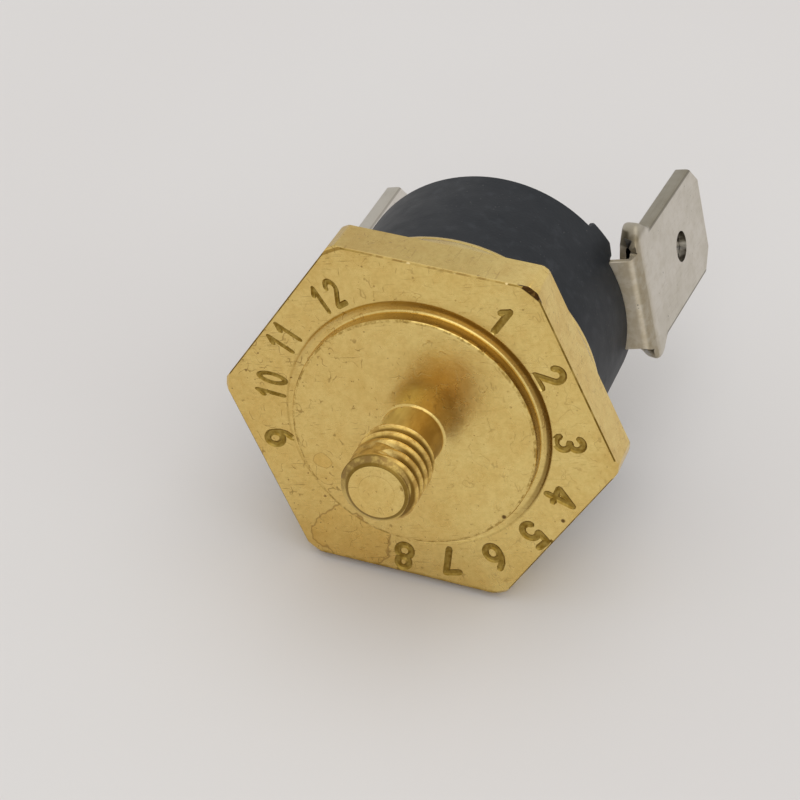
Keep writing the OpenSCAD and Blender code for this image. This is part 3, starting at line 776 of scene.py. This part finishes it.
class Shader:
    """A Principled material whose patterns are in millimetres of the row frame."""

    def __init__(self, name, metallic=0.0, specular=0.5):
        self.material = bpy.data.materials.new(name)
        self.material.use_nodes = True
        self.tree = self.material.node_tree
        self.tree.nodes.clear()
        self.out = self.node("OutputMaterial")
        finish = {"Metallic": metallic, "Specular IOR Level": specular}
        self.bsdf = self.node("BsdfPrincipled", finish)
        self.link(self.bsdf.outputs["BSDF"], self.out.inputs["Surface"])
        coords = self.node("TexCoord")
        self.mm = self.vector("MULTIPLY", coords.outputs["Object"], (1/MM, 1/MM, 1/MM))

    def link(self, source, target):
        self.tree.links.new(source, target)

    def put(self, socket, value):
        if isinstance(value, bpy.types.NodeSocket):
            self.link(value, socket)
        else:
            socket.default_value = value

    def node(self, kind, inputs=None, **settings):
        node = self.tree.nodes.new("ShaderNode" + kind)
        for key, value in settings.items():
            setattr(node, key, value)
        for key, value in (inputs or {}).items():
            self.put(node.inputs[key], value)
        return node

    def vector(self, operation, a, b=(0, 0, 0)):
        node = self.node("VectorMath", {0: a, 1: b}, operation=operation)
        return node.outputs["Value" if operation in ("LENGTH", "DISTANCE", "DOT_PRODUCT") else "Vector"]

    def math(self, operation, *values, clamp=False):
        inputs = dict(enumerate(values))
        return self.node("Math", inputs, operation=operation, use_clamp=clamp).outputs[0]

    def times(self, first, *others):
        for other in others:
            first = self.math("MULTIPLY", first, other)
        return first

    def affine(self, value, factor, offset):
        return self.math("MULTIPLY_ADD", value, factor, offset)

    def union(self, first, *others):
        """The strongest of several masks at each point."""
        for other in others:
            first = self.math("MAXIMUM", first, other)
        return first

    def step(self, value, low, high, to_low=0.0, to_high=1.0):
        inputs = {"Value": value, "From Min": low, "From Max": high, "To Min": to_low, "To Max": to_high}
        return self.node("MapRange", inputs, interpolation_type="SMOOTHSTEP").outputs["Result"]

    def band(self, value, low, high, soft):
        """1 between two values, with soft ends."""
        return self.times(self.step(value, low - soft, low + soft),
                          self.step(value, high + soft, high - soft))

    def mix(self, factor, a, b, blend="MIX"):
        a, b = (v if isinstance(v, bpy.types.NodeSocket) else (*v, 1.0) for v in (a, b))
        inputs = {0: factor, 6: a, 7: b}
        return self.node("Mix", inputs, data_type="RGBA", blend_type=blend).outputs[2]

    def tint(self, colour, mask, target, share=1.0):
        """The colour, replaced by a share of the target where the mask is."""
        return self.mix(self.times(mask, share), colour, target)

    def dim(self, colour, mask, target, share=1.0):
        """The colour, multiplied by a share of the target where the mask is."""
        return self.mix(self.times(mask, share), colour, target, "MULTIPLY")

    def placed(self, shift=(0, 0, 0), turn=0, stretch=(1, 1, 1)):
        """The point, stretched, turned by degrees about the axis and shifted."""
        turned_by = (0, 0, math.radians(turn))
        inputs = {"Vector": self.mm, "Location": shift, "Rotation": turned_by, "Scale": stretch}
        return self.node("Mapping", inputs).outputs["Vector"]

    def place(self, at):
        """The point for a pattern: as it is, shifted by a tuple, or a vector that is given."""
        if at is None:
            return self.mm
        return self.placed(at) if isinstance(at, tuple) else at

    def split(self):
        return self.node("SeparateXYZ", {0: self.mm}).outputs

    def across(self):
        """The point's place in the plane across the axis."""
        return self.vector("MULTIPLY", self.mm, (1, 1, 0))

    def radius(self):
        return self.vector("LENGTH", self.across())

    def toward(self, az, *limits):
        """Soft step over the cosine of the angle round the axis between a point and an azimuth."""
        out = self.vector("NORMALIZE", self.across())
        return self.step(self.vector("DOT_PRODUCT", out, tuple(polar(1, az))), *limits)

    def noise(self, per_mm, detail=2.0, at=None, rough=0.5):
        inputs = {"Vector": self.place(at), "Scale": per_mm, "Detail": detail, "Roughness": rough}
        return self.node("TexNoise", inputs).outputs["Fac"]

    def wandering(self, per_mm, width, shift, stretch=(1, 1, 1)):
        """Hair-thin lines that wander, broken into stretches."""
        level = self.noise(per_mm, 1.5, self.placed(shift, stretch=stretch))
        level = self.math("ABSOLUTE", self.math("SUBTRACT", level, 0.5))
        patch = self.noise(0.9*per_mm, 1.0, (shift[1], shift[2], shift[0]))
        return self.times(self.step(level, width, 0.3*width), self.step(patch, 0.57, 0.66))

    def scratches(self, turn, length, width, amount, shift):
        """Hair-thin streaks along one direction in the plane across the axis."""
        at = self.placed(shift, turn, (1/length, 1/width, 0.4))
        line = self.step(self.noise(1.0, 1.0, at), 1 - amount, 1 - amount + 0.05)
        return self.times(line, self.step(self.noise(0.45, 1.0, shift), 0.5, 0.62))

    def specks(self, per_mm, share, size, at=None):
        """Spots of the given size (in cells) in a share of the cells."""
        cell = self.node("TexVoronoi", {"Vector": self.place(at), "Scale": per_mm}).outputs
        chance = self.node("SeparateColor", {0: cell["Color"]}).outputs
        edge = self.affine(chance[1], size, 0.4*size)
        near = self.math("SUBTRACT", 1.0, self.math("DIVIDE", cell["Distance"], edge), clamp=True)
        return self.times(self.math("LESS_THAN", chance[0], share), self.step(near, 0.0, 0.45))

    def tide_mark(self, centre, radius, ragged):
        """Inside and outline of a dried stain round a point."""
        away = self.math("DIVIDE", self.vector("DISTANCE", self.mm, centre), radius)
        level = self.math("ADD", away, self.affine(self.noise(0.9, 2.0), 2*ragged, -ragged))
        line = self.times(self.step(level, 0.955, 1.0), self.step(level, 1.06, 1.015))
        return self.step(level, 1.04, 0.98), line

    def bump(self, height, distance, strength=1.0, onto=None):
        inputs = {"Strength": strength, "Distance": distance*MM, "Height": height}
        if onto is not None:
            inputs["Normal"] = onto
        return self.node("Bump", inputs).outputs["Normal"]

    def finish(self, colour, roughness, normal=None):
        for key, value in (("Base Color", colour), ("Roughness", roughness), ("Normal", normal)):
            if value is not None:
                self.put(self.bsdf.inputs[key], value)
        return self.material


def stud_colour(s, face):
    """Tarnished thread with painted shade in its roots, strongest on one side, and painted highlights on its
    crests; a neck painted light on one side and dark on the other; a chamfer with painted shade on two sides
    and dark rings at its edges; the flat tip keeps the colour of the face.
    """
    z = s.split()[2]
    r = s.radius()
    blotch = s.step(s.noise(1.9, 4.0, (3, 5, 9), 0.6), 0.38, 0.62)
    streak = s.step(s.noise(1.3, 3.0, s.placed(stretch=(1.3, 1.3, 0.5))), 0.35, 0.65)
    flank = s.mix(blotch, (0.78, 0.54, 0.155), (0.52, 0.325, 0.085))
    # painted shade in the thread's roots, strongest on one side
    root_shade = s.times(s.step(r, THREAD_R - 0.08, THREAD_R - 0.2), s.toward(-25, -0.7, 0.4, 0.3, 1.0))
    colour = s.tint(flank, root_shade, (0.19, 0.105, 0.016), 0.95)
    # painted highlight along the thread's crests
    crest = s.times(s.step(r, THREAD_R - 0.035, THREAD_R - 0.018), s.step(blotch, 1.3, 0.2))
    colour = s.tint(colour, crest, (0.85, 0.67, 0.3), 0.65)
    worn = s.times(s.toward(WORN_AZ + 8, 0.45, 0.8), s.band(z, TIP_H - STUD_L, WORN_Z + 0.65, 0.12))
    smear = s.mix(blotch, (0.64, 0.475, 0.175), (0.43, 0.3, 0.095))
    colour = s.tint(colour, worn, smear, 0.8)
    neck = s.step(z, -NECK_L - 0.02, -NECK_L + 0.06)
    # painted light and shade on the neck: light on one side, dark on the other
    neck_shaded = s.mix(s.toward(-5, -0.1, 0.8), (0.82, 0.73, 0.39), (0.42, 0.275, 0.085))
    neck_shaded = s.dim(neck_shaded, streak, (0.74, 0.68, 0.56), 0.8)
    colour = s.tint(colour, neck, neck_shaded)
    chamfer = s.step(z, -STUD_L + TIP_H + 0.02, -STUD_L + TIP_H - 0.02)
    # painted shade on the chamfer: darker on two sides
    arc_side = s.times(s.toward(-52, -0.2, 0.5), s.step(blotch, 1.2, -0.4))
    bevel = s.tint((0.66, 0.475, 0.14), arc_side, (0.33, 0.2, 0.06), 0.95)
    upper = s.times(s.toward(WORN_AZ, 0.2, 0.75), s.step(blotch, 1.6, 0.1))
    bevel = s.tint(bevel, upper, (0.29, 0.18, 0.055), 0.9)
    near_face = s.band(r, TIP_R - 0.02, TIP_R + 0.19, 0.05)
    rings = s.union(near_face, s.band(r, THREAD_R - 0.09, THREAD_R + 0.1, 0.03))
    bevel = s.tint(bevel, rings, (0.22, 0.13, 0.02), 0.85)
    colour = s.tint(colour, chamfer, bevel)
    flat = s.step(z, -STUD_L + 0.014, -STUD_L + 0.006)
    colour = s.tint(colour, flat, face)
    return s.step(z, -0.05, -0.16), colour, s.math("SUBTRACT", 1.0, flat)


def rim_colour(s, face):
    """Brown wall of the contact face, as painted reflection, and a brown rim line; painted reflection in the
    turned ring's groove and a line at its step; dark corners, the first painted shade; one flat's edge
    painted brown as reflected shade; the top flat's side painted darker as shade.
    """
    z = s.split()[2]
    r = s.radius()
    uneven = s.step(s.noise(1.7, 4.0, (8, 8, 2)), 0.3, 0.6, 0.35, 1.0)
    # painted reflection: the contact face's wall brown, lighter towards one side
    wall = s.times(s.band(r, BOSS_R - 0.05, BOSS_R + 0.02, 0.01), s.band(z, 0.07, BOSS_H - 0.08, 0.02))
    brown = s.mix(s.toward(-12, -0.2, 0.75), (0.6, 0.43, 0.15), (0.27, 0.16, 0.04))
    colour = s.tint(face, wall, brown, 0.92)
    outside = s.step(z, BOSS_H - 0.25, BOSS_H - 0.15)
    # painted reflection of the wall in the ring's groove: brown towards one side, dark brown towards another
    groove = s.band(r, RING_R - 0.28, RING_R, 0.06)
    soft = s.times(groove, outside, s.toward(-75, -0.1, 0.7, 0.0, 0.4))
    colour = s.tint(colour, soft, (0.6, 0.43, 0.16))
    deep = s.times(groove, outside, s.toward(-18, 0.1, 0.8, 0.0, 0.85))
    colour = s.tint(colour, deep, (0.28, 0.17, 0.04))
    rough = s.step(s.noise(3.4, 5.0, (2, 2, 9), 0.65), 0.4, 0.62)
    rim = s.times(s.band(r, BOSS_R - 0.14, BOSS_R + 0.02, 0.02), s.step(z, 0.075, 0.06), rough)
    ring = s.times(s.band(r, RING_R - 0.05, RING_R + 0.05, 0.03), outside, uneven)
    lines = s.union(rim, s.times(ring, 0.45))
    colour = s.tint(colour, lines, (0.32, 0.19, 0.03), 0.7)
    bevel = s.step(r, CORNER_R - 0.28, CORNER_R - 0.22)
    # dark corner bevels; the first is painted shade
    for az, height, dark in DARK_CORNERS:
        low = s.step(z, BOSS_H + height - 0.01, BOSS_H + height - 0.03)
        colour = s.tint(colour, s.times(s.toward(az, 0.9955, 0.9975), bevel, low), dark)
    # painted reflection of the floor's contact shadow along one flat's front edge
    out = s.vector("DOT_PRODUCT", s.mm, tuple(polar(1, REFLECTED_SHADE_EDGE)))
    brim = s.times(s.step(out, FLAT_APOTHEM - 0.24, FLAT_APOTHEM - 0.1),
                   s.step(z, BOSS_H + 0.2, BOSS_H + 0.1), uneven)
    colour = s.tint(colour, brim, (0.36, 0.23, 0.05), 0.75)
    # painted shade: the top flat's side darker
    top_side = s.times(s.step(z, BOSS_H + 0.1, BOSS_H + 0.2), s.toward(-90, 0.6, 0.95))
    return s.dim(colour, top_side, (0.77, 0.77, 0.74))


def brass_material(name, light, warm):
    s = Shader(name, metallic=1.0)
    x = s.split()[0]
    colour = s.mix(s.step(s.noise(0.3, 3.0), 0.35, 0.68), light, warm)
    cloud = s.step(s.noise(1.6, 4.0, (5, 2, 1)), 0.35, 0.75)
    colour = s.dim(colour, cloud, (0.91, 0.85, 0.77), 0.55)
    # painted shade: the brass darker towards -x
    colour = s.dim(colour, s.step(x, 3.0, -2.0), (0.94, 0.9, 0.86))
    mottle = s.step(s.noise(4.2, 4.0, (1, 7, 3), 0.7), 0.36, 0.66)
    colour = s.dim(colour, mottle, (0.82, 0.8, 0.7), 0.5)
    film = s.times(s.step(s.radius(), FLAT_APOTHEM - 0.7, FLAT_APOTHEM + 1),
                   s.step(s.noise(0.9, 4.0, (4, 1, 6)), 0.38, 0.62))
    colour = s.dim(colour, film, (0.78, 0.66, 0.48), 0.3)
    stains, lines = zip(*[s.tide_mark(*mark) for mark in TIDE_MARKS])
    colour = s.dim(colour, s.union(*stains), (0.96, 0.9, 0.79), 0.8)
    colour = s.tint(colour, s.union(*lines), (0.3, 0.17, 0.05), 0.6)
    colour = rim_colour(s, colour)
    on_stud, tarnish_and_shade, dull = stud_colour(s, colour)
    colour = s.tint(colour, on_stud, tarnish_and_shade)
    left = s.step(x, 3.0, -4.0, 0.5, 1.0)
    hairs = s.union(s.scratches(18, 1.7, 0.04, 0.31, (1, 5, 0)),
                    s.scratches(-47, 1.3, 0.036, 0.3, (7, 2, 3)),
                    s.scratches(82, 1.5, 0.04, 0.3, (3, 9, 5)),
                    s.scratches(-20, 0.6, 0.05, 0.32, (4, 3, 7)),
                    s.wandering(0.9, 0.011, (2, 4, 8)),
                    s.wandering(1.9, 0.022, (6, 1, 3), (1, 0.6, 1)))
    hairs = s.times(hairs, left)
    pits = s.union(s.specks(1.5, 0.24, 0.1), s.specks(2.7, 0.14, 0.14, (4, 4, 4)),
                   s.specks(5.0, 0.1, 0.2, (7, 1, 2)))
    pits = s.times(pits, left)
    spots = s.union(*[s.step(s.vector("DISTANCE", s.mm, centre), size, 0.4*size)
                      for centre, size in DARK_SPOTS])
    colour = s.tint(colour, hairs, (0.29, 0.17, 0.045), 0.62)
    colour = s.tint(colour, pits, (0.22, 0.12, 0.035), 0.75)
    colour = s.tint(colour, spots, (0.1, 0.045, 0.012), 0.9)
    roughness = s.affine(s.noise(0.8, 3.0, (9, 1, 2)), 0.1, 0.22)
    roughness = s.math("ADD", roughness, s.times(on_stud, dull, 0.14))
    height = s.math("ADD", s.times(hairs, -0.4), s.times(s.union(pits, spots), -1.0))
    grain = s.bump(s.noise(6.5, 3.0), 0.004, 0.7)
    swell = s.bump(s.noise(1.1, 2.0, (2, 8, 5)), 0.02, 0.6, grain)
    return s.finish(colour, roughness, s.bump(height, 0.014, 1.0, swell))


def stamp_material():
    s = Shader("stamped_brass", metallic=1.0)
    colour = s.mix(s.step(s.noise(4.0, 3.0), 0.3, 0.7), (0.27, 0.165, 0.025), (0.42, 0.29, 0.07))
    return s.finish(colour, 0.45, s.bump(s.noise(12.0, 2.0), 0.01))


# Edge bevels of the flats, front and back: dark brown as painted shade and reflected dark, patchy and lighter
# along the top flat, with light specks at one corner.
def shaded_edge_material():
    s = Shader("edge_brass_shaded", metallic=1.0)
    colour = s.mix(s.step(s.noise(1.3, 4.0), 0.4, 0.68), (0.2, 0.12, 0.02), (0.4, 0.27, 0.07))
    patch = s.step(s.noise(2.4, 3.0, (5, 5, 1)), 0.42, 0.56)
    top_side = s.toward(TOP_FLAT, 0.9, 0.96)
    colour = s.tint(colour, top_side, s.mix(patch, (0.4, 0.26, 0.08), (0.6, 0.44, 0.15)), 0.7)
    chips = s.times(s.specks(3.6, 0.3, 0.36), s.toward(-66, 0.92, 0.97))
    colour = s.tint(colour, chips, (0.74, 0.58, 0.28))
    return s.finish(colour, 0.5, s.bump(s.noise(9.0, 2.0), 0.006))


def phenolic_material(name, dark, light):
    s = Shader(name, specular=0.22)
    colour = s.mix(s.step(s.noise(0.35, 4.0), 0.3, 0.75), dark, light)
    dust = s.union(s.specks(3.2, 0.18, 0.1), s.specks(6.5, 0.16, 0.14, (3, 1, 7)))
    smear = s.step(s.noise(1.4, 5.0, (6, 3, 2)), 0.5, 0.8)
    colour = s.tint(colour, smear, (0.21, 0.23, 0.26), 0.06)
    colour = s.tint(colour, dust, (0.36, 0.35, 0.32), 0.2)
    roughness = s.affine(s.noise(1.1, 3.0, (1, 6, 4)), 0.16, 0.42)
    grain = s.bump(s.noise(7.0, 3.0), 0.008, 0.8)
    return s.finish(colour, roughness, s.bump(dust, 0.01, 0.5, grain))


def fold_marks_and_shading(s, colour):
    """Brown strip and bend, lighter on the strip's underside, painted light on the left terminal, the darker
    edges of the folds, painted shade on the back layer's foot and on the ears at -y, and a painted shade line
    in the crease where each fold begins.
    """
    x, y, z = s.split()
    low = s.step(z, BEND_Z + 1.2, BEND_Z + 0.2)
    worn = s.step(s.noise(1.8, 5.0, (5, 9, 4), 0.6), 0.36, 0.6, 0.35, 1.0)
    under = s.step(z, TROUGH_Z + 0.16, TROUGH_Z + 0.06)
    colour = s.tint(colour, under, (0.82, 0.77, 0.67), 0.8)
    bend = s.band(z, TROUGH_Z + 0.12, BEND_Z + 0.5, 0.1)
    colour = s.dim(colour, bend, (0.76, 0.735, 0.68))
    colour = s.dim(colour, s.times(low, worn), (0.84, 0.8, 0.71))
    side = s.math("ABSOLUTE", y)
    # painted light: the left terminal lighter than the right
    colour = s.tint(colour, s.step(x, 1, -1, 0.0, 0.5), (0.84, 0.81, 0.77))
    pressed = s.times(s.step(z, BEND_Z + 1.9, BEND_Z + LOOP_H + PRESS_H), s.step(x, -1, 1, 0.6, 1.0))
    half = BLADE_W/2
    begin = half - FOLD_R
    edge = s.times(s.step(side, begin, begin + 0.1), pressed)
    colour = s.dim(colour, edge, (0.42, 0.405, 0.35), 0.9)
    # painted shade on the foot of the back layer at -y, on the right terminal
    wing = s.times(s.step(x, BEND_X + 0.1, BEND_X - 0.15), s.band(y, -half - 0.5, -half + 0.2, 0.06),
                   s.step(z, BEND_Z + 2, BEND_Z + 1))
    colour = s.dim(colour, wing, (0.34, 0.32, 0.27), s.step(x, -1, 1))
    # painted shade on the ear at -y
    ear = s.times(s.step(y, -half, -half - 0.35), s.step(z, BEND_Z + 2.3, BEND_Z + 1.5))
    colour = s.dim(colour, ear, (0.6, 0.58, 0.52), 0.8)
    # painted shade: a dark line in the crease where each fold begins
    crease_shade = s.times(s.band(side, begin - 0.05, begin + 0.09, 0.02), pressed)
    return low, s.tint(colour, crease_shade, (0.17, 0.15, 0.105), 0.8)


def nickel_material(name, clean, dull, rough=0.27, folded=False):
    s = Shader(name, metallic=1.0)
    colour = s.mix(s.step(s.noise(0.5, 4.0), 0.35, 0.7), clean, dull)
    mottle = s.step(s.noise(2.6, 4.0, (3, 3, 3), 0.6), 0.42, 0.72)
    colour = s.dim(colour, mottle, (0.82, 0.79, 0.72), 0.4)
    brush = s.noise(1.6, 3.0, s.placed(stretch=(6.0, 6.0, 0.35)))
    spots = s.union(s.specks(1.7, 0.18, 0.09), s.specks(3.4, 0.1, 0.13, (2, 5, 1)))
    colour = s.dim(colour, s.step(brush, 0.56, 0.7), (0.58, 0.55, 0.48), 0.22)
    roughness = s.affine(s.noise(1.3, 3.0, (8, 2, 6)), 0.16, rough)
    if folded:
        low, colour = fold_marks_and_shading(s, colour)
        roughness = s.math("ADD", roughness, s.times(low, 0.3))
    colour = s.tint(colour, spots, (0.16, 0.14, 0.11), 0.7)
    fine = s.bump(brush, 0.004, 0.5)
    swell = s.bump(s.noise(1.3, 2.0, (4, 7, 2)), 0.02, 0.5, fine)
    return s.finish(colour, roughness, s.bump(spots, -0.012, 1.0, swell))


def inner_nickel_material():
    """Inside of the folds and of the eyes: in shade, with the light caught low in the eye and in the fold."""
    s = Shader("tab_nickel_inside", metallic=1.0)
    _, y, z = s.split()
    in_ear = s.step(s.math("ABSOLUTE", y), BLADE_W/2 + 0.3, BLADE_W/2 + 0.5, 0.0, 0.6)
    eye_z = BEND_Z + BLADE_L - EYE_IN
    lit = s.union(in_ear, s.times(s.band(y, 0.15, 0.45, 0.1), s.step(z, eye_z - 2.3, eye_z - 1.3)))
    shade = s.mix(s.step(s.noise(2.2, 4.0), 0.35, 0.65), (0.4, 0.37, 0.31), (0.14, 0.12, 0.09))
    return s.finish(s.mix(lit, shade, (0.9, 0.88, 0.82)), 0.3, s.bump(s.noise(6.0, 2.0), 0.004))


def plain_material(name, colour, other, roughness, metallic=0.0):
    """Finish of the parts inside: two tones, a fine grain and a few specks."""
    s = Shader(name, metallic=metallic)
    mixed = s.mix(s.step(s.noise(1.2, 4.0), 0.35, 0.7), colour, other)
    mixed = s.tint(mixed, s.specks(4.0, 0.12, 0.12), tuple(0.4*c for c in colour), 0.5)
    wear = s.affine(s.noise(2.0, 3.0), 0.15, roughness)
    return s.finish(mixed, wear, s.bump(s.noise(6.0, 3.0), 0.006, 0.8))


def floor_material():
    s = Shader("floor_paper", specular=0.2)
    tone = s.step(s.noise(0.02, 3.0), 0.3, 0.7)
    s.finish(s.mix(tone, (0.675, 0.658, 0.652), (0.69, 0.678, 0.672)), 0.8)
    # clear from below, so that a view from under the floor sees the part
    below = s.node("NewGeometry").outputs["Backfacing"]
    clear = s.node("BsdfTransparent").outputs["BSDF"]
    choice = s.node("MixShader", {0: below, 1: s.bsdf.outputs["BSDF"], 2: clear})
    s.link(choice.outputs[0], s.out.inputs["Surface"])
    return s.material


# Camera, floor and light

def make_camera():
    data = bpy.data.cameras.new("camera")
    data.sensor_width = SENSOR_MM
    data.lens = SENSOR_MM*FOCAL_PX/FRAME_PX
    data.clip_start = 0.005
    data.clip_end = 10
    back = -LOOK.normalized()
    right = (-IMAGE_DOWN.normalized()).cross(back).normalized()
    turn = Matrix((right, back.cross(right), back)).transposed().to_4x4()
    scene.camera = add_object("camera", data)
    scene.camera.matrix_world = Matrix.Translation(EYE*MM) @ turn


def room_axes():
    ahead = (LOOK - ROOM_UP*LOOK.dot(ROOM_UP)).normalized()
    return ahead.cross(ROOM_UP).normalized(), ahead


def make_floor():
    right, ahead = room_axes()
    middle = Vector((0, 0, FLOOR_MIDDLE_Z))
    middle -= ROOM_UP*(middle.dot(ROOM_UP) + FLOOR_TOUCH + FLOOR_GAP)
    corners = [middle + (right*a + ahead*b)*FLOOR_HALF for a, b in ((-1, -1), (1, -1), (1, 1), (-1, 1))]
    mesh = bpy.data.meshes.new("floor")
    mesh.from_pydata([tuple(c*MM) for c in corners], [], [[0, 1, 2, 3]])
    mesh.materials.append(floor_material())
    add_object("floor", mesh)


def make_lamp(name, across, above, behind, size, power):
    """Square lamp that looks at the part from a place given in the room's directions, in mm."""
    right, ahead = room_axes()
    target = Vector((0, 0, LAMP_TARGET_Z))*MM
    place = target + (right*across + ROOM_UP*above + ahead*behind)*MM
    data = bpy.data.lights.new(name, "AREA")
    data.shape = "SQUARE"
    data.size = size*MM
    data.energy = power
    turn = (place - target).to_track_quat("Z", "Y").to_matrix().to_4x4()
    add_object(name, data).matrix_world = Matrix.Translation(place) @ turn


def make_world(strength):
    world = bpy.data.worlds.new("room")
    scene.world = world
    world.use_nodes = True
    background = world.node_tree.nodes["Background"]
    background.inputs["Color"].default_value = (1.0, 0.985, 0.965, 1.0)
    background.inputs["Strength"].default_value = strength


make_camera()
make_floor()
make_world(0.765)
make_lamp("softbox", across=60, above=420, behind=40, size=420, power=0.5)
make_lamp("front_fill", across=-40, above=330, behind=-420, size=380, power=0.35)
scene.view_settings.view_transform = "Standard"

brass = brass_material("satin_brass", (0.865, 0.665, 0.25), (0.83, 0.615, 0.215))
phenolic = phenolic_material("dark_phenolic", (0.0055, 0.008, 0.012), (0.0095, 0.012, 0.016))
nickel = nickel_material("tab_nickel", (0.66, 0.62, 0.55), (0.58, 0.54, 0.46), folded=True)
nickel_dark = inner_nickel_material()
rivet_metal = nickel_material("rivet_nickel", (0.7, 0.67, 0.61), (0.62, 0.58, 0.52), 0.24)

pieces = [
    (make_base(brass, stamp_material(), shaded_edge_material()), "hex_base", "brass"),
    (make_housing(phenolic), "housing", "phenolic"),
    (make_terminal("folded_tab_right", 1, RIGHT_LEAN, nickel, nickel_dark), "terminal_right", "nickel_plate"),
    (make_terminal("folded_tab_left", -1, LEFT_LEAN, nickel, nickel_dark), "terminal_left", "nickel_plate"),
    (make_rivet("rolled_rivet_right", 1, BRACKET_T, rivet_metal), "rivet_right", "rivet_metal"),
    (make_rivet("rolled_rivet_left", -1, ARM_T, rivet_metal), "rivet_left", "rivet_metal"),
]
for piece, node, slot in pieces:
    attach(piece, "base")
    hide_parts(node)

# Finish of the pieces inside: (nodes, name, two tones, roughness, metallic)
INSIDE = [
    (["bimetal_disc"], "disc_bimetal", (0.6, 0.58, 0.54), (0.5, 0.48, 0.44), 0.28, 1.0),
    (["pin_guide"], "guide_plastic_brown", (0.12, 0.05, 0.025), (0.17, 0.075, 0.04), 0.5),
    (["push_pin"], "pin_ceramic", (0.82, 0.8, 0.74), (0.74, 0.71, 0.65), 0.4),
    (["contact_arm"], "leaf_bronze", (0.72, 0.4, 0.19), (0.62, 0.34, 0.17), 0.28, 1.0),
    (["moving_contact", "fixed_contact"], "contact_silver", (0.88, 0.87, 0.84), (0.76, 0.74, 0.7), 0.3, 1.0),
    (["contact_bracket"], "bracket_sheet", (0.76, 0.58, 0.25), (0.66, 0.48, 0.2), 0.3, 1.0),
]
for nodes, *finish in INSIDE:
    material = plain_material(*finish)
    for node in nodes:
        dress(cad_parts[node], material)
